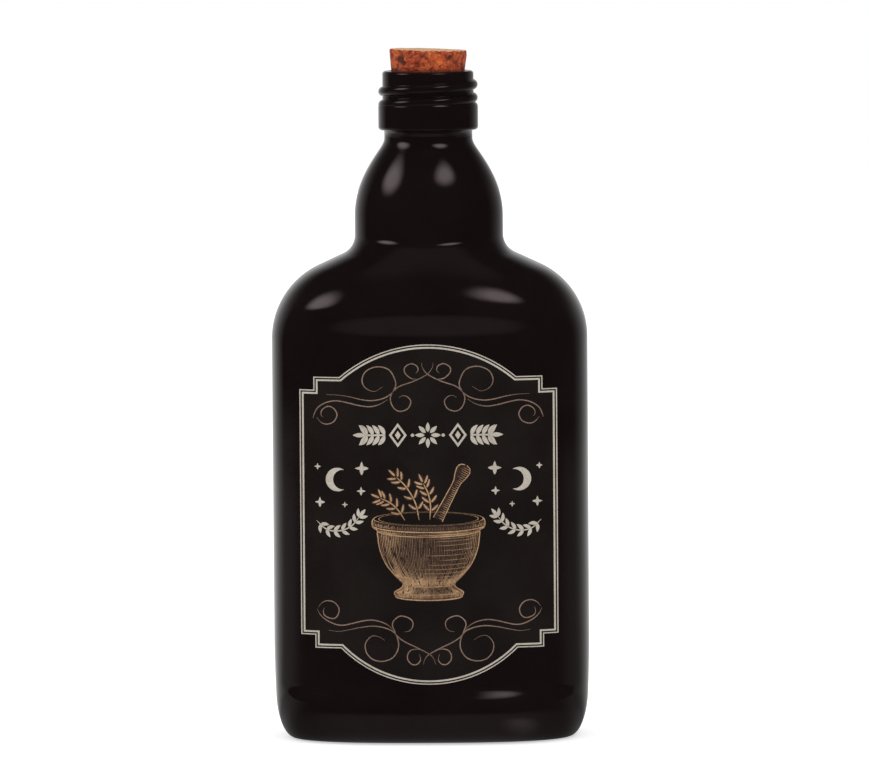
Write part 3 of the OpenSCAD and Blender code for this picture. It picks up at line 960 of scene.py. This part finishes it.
LOW_SCROLL = [
    [
        (-18.5, 0.6), (-15.7, 0.3), (-12.4, 0.9), (-9.6, 1.5), (-6.3, 1.9), (-3.5, 1.6),
        (-1.4, 0.9), (0, 0), (0.8, -1.6), (1.1, -3.5), (0.6, -5.4), (-0.9, -7.2), (-3.5, -8),
        (-6.1, -7.5), (-7.8, -5.8), (-8.3, -3.7), (-7.7, -2.1), (-6.3, -0.9), (-4.4, -1.1),
        (-2.8, -2.1),
    ],
    [
        (-21.7, 6.5), (-21, 5.1), (-19.4, 3.6), (-16.6, 2.3), (-14.3, 2.1), (-11.9, 2.6),
        (-9.1, 3.3), (-6.3, 3.6), (-3.5, 3), (-1.6, 2), (-0.5, 0.8),
    ],
    [
        (-21.4, 7), (-20.3, 8.3), (-18.7, 8.9), (-16.8, 8.4), (-15.6, 6.8), (-15.8, 5.1),
        (-16.8, 4), (-18.2, 4), (-19.6, 4.7), (-20, 5.8), (-19.7, 6.9),
    ],
    [
        (11.4, -8.9), (11, -7.5), (9.8, -6.1), (6.3, -4.2), (3, -2.6), (0.7, -0.9), (-0.1, 0.7),
        (-0.6, 2.3), (0, 3.7), (1.6, 4.7), (3.5, 4.4), (4.9, 3.4), (5.1, 1.9), (4.2, 0.6),
        (2.8, 0.3),
    ],
    [
        (7.1, -4.8), (5.8, -4.6), (4.4, -5), (3.6, -6.2), (3.7, -7.7), (4.9, -8.9), (6.3, -8.8),
        (7.2, -7.6), (6.9, -6.1),
    ],
]


def flipped(path):
    """The path on the other side of the middle, run backwards."""
    return (path * np.array([-1, 1]))[::-1]


flourishes = [spline(line) + TOP_JOINT for line in TOP_SCROLL]
flourishes += [spline(line) + LOW_JOINT for line in LOW_SCROLL]
flourishes += [flipped(path) for path in flourishes]
lines = [stroke(path, tapered(path, SCROLL_W, 0.3, 0.2, 0.25)) for path in flourishes]
copper_ink = ink("copper_ink", ((0.20, 0.122, 0.088), (0.31, 0.20, 0.145)), 0.5)
printed("label_scrolls", lines, copper_ink)

# Label ornament
# A row of cut ornaments in cream across the upper third, and on each side below
# it a moon, stars and a spray of leaves: plain motifs of an apothecary's label.
ROW_Z = 87.1
ROSETTE_HUB = 0.9
ROSETTE_LEAF = (2.7, 1.1)
DOT = (4.3, ROW_Z - 0.5, 90, 1.0, 1.0)
LOZENGES = (-8.4, 8.4)
LOZENGE_IN = (1.75, 2.4)
LOZENGE_OUT = (2.5, 3.4)
CORE_W = 1.6
CORE_HALF = 1.2
BOUGH_X = (11.8, 17.6)
STAR_WAIST = 0.58
STAR_SPOTS = [
    (18.6, 77.8, 1.9), (30.4, 68.2, 1.4), (18.8, 71.4, 1.2), (31.0, 78.2, 0.9), (23.4, 67.6, 0.8),
]
MOON_SPOT = (25.4, 74.6)
MOON_R = 3.3
BITE_X = 1.5
BITE_R = 2.75
TIP_SHORT = 1.2
SPRAY = [(31.4, 63.0), (28.6, 60.6), (25.0, 60.2), (21.6, 61.6), (19.2, 64.4)]
# Pairs of leaves: the first, every how many points, length, width, and spread and bend in degrees
BOUGH_LEAVES = (2, 11, 3.4, 1.2, 58, 40)
SPRAY_LEAVES = (4, 6, 2.5, 0.95, 44, 25)
HERB_LEAVES = (5, 5, 3.2, 1.35, 46, 30)


def petal(x, z, angle, length, width, bend=0.0):
    """A leaf as wide as half a sine wave, along a spine that is part of a circle turning by bend."""
    t = np.linspace(0, 1, 15)
    turn_at = np.radians(angle) + np.radians(bend) * (t[1:] - 0.5)
    steps = np.stack([np.cos(turn_at), np.sin(turn_at)], 1) * length / (len(t) - 1)
    path = np.concatenate([[(0, 0)], np.cumsum(steps, 0)]) + (x, z)
    return path, width * (0.04 + np.sin(np.pi * t**0.85) ** 0.9)


def sprayed(stem, first, every, length, width, spread, bend):
    """Pairs of leaves along a stem, and one at its end."""
    found = []
    for i in [*range(first, len(stem) - 2, every), len(stem) - 2]:
        ahead = stem[i + 1] - stem[i]
        heading = np.degrees(np.arctan2(ahead[1], ahead[0]))
        found += [petal(*stem[i], heading + way * spread, length, width, -way * bend) for way in (-1, 1)]
    return [*found, petal(*stem[-1], heading, length, width)]


def lozenge(x, z, wide, high):
    """The four corners of a lozenge."""
    t = np.arange(4) * np.pi / 2
    return np.stack([x + wide * np.cos(t), z + high * np.sin(t)], 1)


def arc(x, z, radius, end):
    """Points of a circle, from an angle in degrees at the top down to the same angle below."""
    t = np.radians(np.linspace(end, -end, 33))
    return np.stack([x + radius * np.cos(t), z + radius * np.sin(t)], 1)


turns = np.arange(8) * 45
round_hub = np.stack([np.cos(np.radians(turns)), np.sin(np.radians(turns))], 1) * ROSETTE_HUB
leaves = [petal(*spot, turned, *ROSETTE_LEAF) for spot, turned in zip(round_hub + (0, ROW_Z), turns)]
bough = np.stack([np.linspace(*BOUGH_X, 40), np.full(40, ROW_Z)], 1)
sides = [petal(*DOT), (bough, tapered(bough, 0.5)), *sprayed(bough, *BOUGH_LEAVES)]
for x, z, size in STAR_SPOTS:
    sides.append(petal(x, z - size, 90, 2 * size, STAR_WAIST * size))
    sides.append(petal(x - size, z, 0, 2 * size, STAR_WAIST * size))
stem = spline(SPRAY, 10)
sides += [(stem, tapered(stem, 0.34)), *sprayed(stem, *SPRAY_LEAVES)]
leaves += sides + [(flipped(path), width[::-1]) for path, width in sides]
shapes = [stroke(path, width) for path, width in leaves]

# The moon: two arcs that meet at the tips, where their circles cross
tip_x = (MOON_R**2 - BITE_R**2 + BITE_X**2) / (-2 * BITE_X)
outer_end = np.degrees(np.arccos(tip_x / MOON_R)) - TIP_SHORT
bite_end = np.degrees(np.arccos((tip_x + BITE_X) / BITE_R)) - TIP_SHORT
outer = arc(*MOON_SPOT, MOON_R, outer_end)
bite = arc(MOON_SPOT[0] - BITE_X, MOON_SPOT[1], BITE_R, bite_end)
shapes += [inked(outer, bite), inked(flipped(outer), flipped(bite))]
core = np.linspace(-CORE_HALF, CORE_HALF, 9)
core_width = CORE_W * (1 - np.abs(core) / (CORE_HALF + 0.02))
for middle in LOZENGES:
    left, right = (lozenge(middle, ROW_Z, *half) for half in (LOZENGE_IN, LOZENGE_OUT))
    shapes.append(inked(left, right, closed=True))
    shapes.append(stroke(np.stack([0 * core + middle, core + ROW_Z], 1), core_width))
printed("label_ornament", shapes, cream_ink)

# Label picture
# A mortar and pestle with sprigs of herbs, printed as an engraving: a brown
# ground, and over it tan lines that are wide where light falls on the bowl.
GROUND_TOP = 0.158
LINE_TOP = 0.178
MORTAR_LINE = [
    (9.3, 41.9), (9.6, 43.1), (7.7, 44.3), (7.3, 45.6), (9.3, 47.6), (12.0, 51.0), (13.7, 55.2),
    (14.3, 59.2), (14.4, 60.6), (15.5, 61.2), (15.8, 62.6), (15.5, 63.6),
]
MORTAR_TILT = 0.13
MERIDIANS = 60
LIGHTS = ((-58, 22, 1.15), (63, 13, 0.85), (-8, 10, 0.2))
RIM_LIGHTS = ((0.33, 0.07, 0.7), (0.07, 0.07, 0.5))
POOL = (0.5, 0.2, 0.3)
BRIGHTEST = 1.15
BANDS = ((0.0, 0.34), (0.11, 0.26), (0.26, 0.28), (0.36, 0.2), (0.70, 0.26), (0.86, 0.32))
MOUTH_RINGS = ((1.0, 0.978), (0.905, 0.89))
PESTLE_FROM = np.array([2.6, 63.4])
PESTLE_TO = np.array([10.6, 78.6])
PESTLE_HALF = [
    (0, 1.5), (0.3, 1.25), (0.62, 1.1), (0.7, 1.2), (0.8, 1.8), (0.9, 2.15), (0.96, 1.8),
    (0.99, 1.1), (1, 0.3),
]
SPRIGS = [
    [(-2.6, 63.2), (-3.6, 68.0), (-6.2, 72.6), (-9.0, 75.4)],
    [(-6.6, 63.2), (-8.4, 66.0), (-10.8, 68.2), (-13.4, 69.4)],
    [(0.4, 63.4), (0.6, 67.2), (0.0, 70.6), (-1.4, 73.6)],
]

profile = spline(MORTAR_LINE, 8)
pestle_way = (PESTLE_TO - PESTLE_FROM) / np.hypot(*(PESTLE_TO - PESTLE_FROM))
t = np.linspace(0, 1, 60)
pestle_spine = PESTLE_FROM + (PESTLE_TO - PESTLE_FROM) * t[:, None]
pestle_half = np.interp(t, *np.array(PESTLE_HALF).T)[:, None]


def mortar(along, around):
    """Turned form seen a little from above, along its profile and around it.

    The radius times the sine of the angle gives x, and the height drops by the tilt times the radius
    times the cosine.
    """
    at = along * (len(profile) - 1)
    radius, height = (np.interp(at, np.arange(len(profile)), column) for column in profile.T)
    return np.stack([radius * np.sin(around), height - MORTAR_TILT * radius * np.cos(around)], -1)


def pestle_edge(side):
    """One edge of the pestle: its spine moved out by half its thickness at each point."""
    return pestle_spine + side * np.array([-pestle_way[1], pestle_way[0]]) * pestle_half


def bell(v, middle, spread, power):
    """Bell curve: the power times e to minus the square of the distance over the spread."""
    return power * np.exp(-(((v - middle) / spread) ** 2))


def lit(along, around):
    """Light on the bowl: a bell curve for each lamp and for the rims, and a dark pool half way up."""
    lamps = sum(bell(np.degrees(around), *light) for light in LIGHTS)
    rims = sum(bell(along, *light) for light in RIM_LIGHTS)
    return np.minimum(lamps * (1 - bell(along, *POOL)) + rims, BRIGHTEST)


along = np.linspace(0, 1, 60)
slices = np.linspace(-np.pi / 2, np.pi / 2, 41)
seams = [mortar(along, around) for around in slices]
ground = [inked(left, right, GROUND_TOP) for left, right in zip(seams, seams[1:])]
ground.append(inked(pestle_edge(1), pestle_edge(-1), GROUND_TOP, across=5))
sprigs = [spline(sprig, 8) for sprig in SPRIGS]
herbs = [leaf for sprig in sprigs for leaf in sprayed(sprig, *HERB_LEAVES)]
ground += [stroke(path, width, GROUND_TOP) for path, width in herbs]

lines = [stroke(path[2:-2], 0.4 * width[2:-2], LINE_TOP) for path, width in herbs]
lines += [stroke(sprig, tapered(sprig, 0.36), LINE_TOP) for sprig in sprigs]
draw = np.random.default_rng(7)
for around in np.arcsin(np.linspace(-0.985, 0.985, MERIDIANS)):
    cuts = [0.02, *np.sort(draw.uniform(0.12, 0.82, 3)), 0.86]
    for start, stop in zip(cuts, cuts[1:]):
        if stop - start > 0.05:
            along = np.linspace(start + 0.006, stop - 0.006, 18)
            width = (0.035 + 0.28 * lit(along, around)) * draw.uniform(0.75, 1.1)
            width = width * (0.35 + 0.65 * np.cos(around)) * tapered(along, 1, 0.2, 0.2, 0.3)
            lines.append(stroke(mortar(along, around), width, LINE_TOP))
half_turn = np.linspace(-np.pi / 2, np.pi / 2, 61)
for level, width in BANDS:
    lines.append(stroke(mortar(level, half_turn), width, LINE_TOP))
for level in np.linspace(0.30, 0.84, 19):
    around = np.radians(np.linspace(draw.uniform(-25, 15), draw.uniform(50, 80), 30))
    path = mortar(level, around)
    lines.append(stroke(path, tapered(path, 0.1, 0.3, 0.2, 0.3), LINE_TOP))
for around in np.arcsin(np.linspace(-0.97, 0.97, 70)):
    along = np.linspace(0.885, draw.uniform(0.91, 0.98), 5)
    lines.append(stroke(mortar(along, around), 0.05 + 0.16 * lit(0.6, around), LINE_TOP))
for side in (-1, 1):
    edge = mortar(np.linspace(0, 1, 60), side * np.pi / 2)
    lines.append(stroke(edge, 0.3, LINE_TOP))
    lines.append(stroke(pestle_edge(side * 0.93), 0.26, LINE_TOP))
full_turn = np.linspace(0, 2 * np.pi, 96, endpoint=False)
rim = mortar(1, full_turn)
middle = np.array([0, profile[-1, 1]])
for outer, inner in MOUTH_RINGS:
    left, right = (middle + size * (rim - middle) for size in (inner, outer))
    lines.append(inked(left, right, LINE_TOP, closed=True))
for i in range(2, 57, 2):
    first = pestle_edge(-0.9)[i]
    path = first + (pestle_edge(draw.uniform(0.0, 0.6))[i] - first) * np.linspace(0, 1, 6)[:, None]
    lines.append(stroke(path, tapered(path, 0.15, 0.05, 0.6, 0.2), LINE_TOP))
brown_ink = ink("brown_ink", ((0.032, 0.012, 0.007), (0.062, 0.026, 0.014)), 0.5)
tan_ink = ink("tan_ink", ((0.36, 0.19, 0.09), (0.58, 0.36, 0.185)), 0.5)
printed("label_picture_ground", ground, brown_ink)
printed("label_picture_lines", lines, tan_ink)
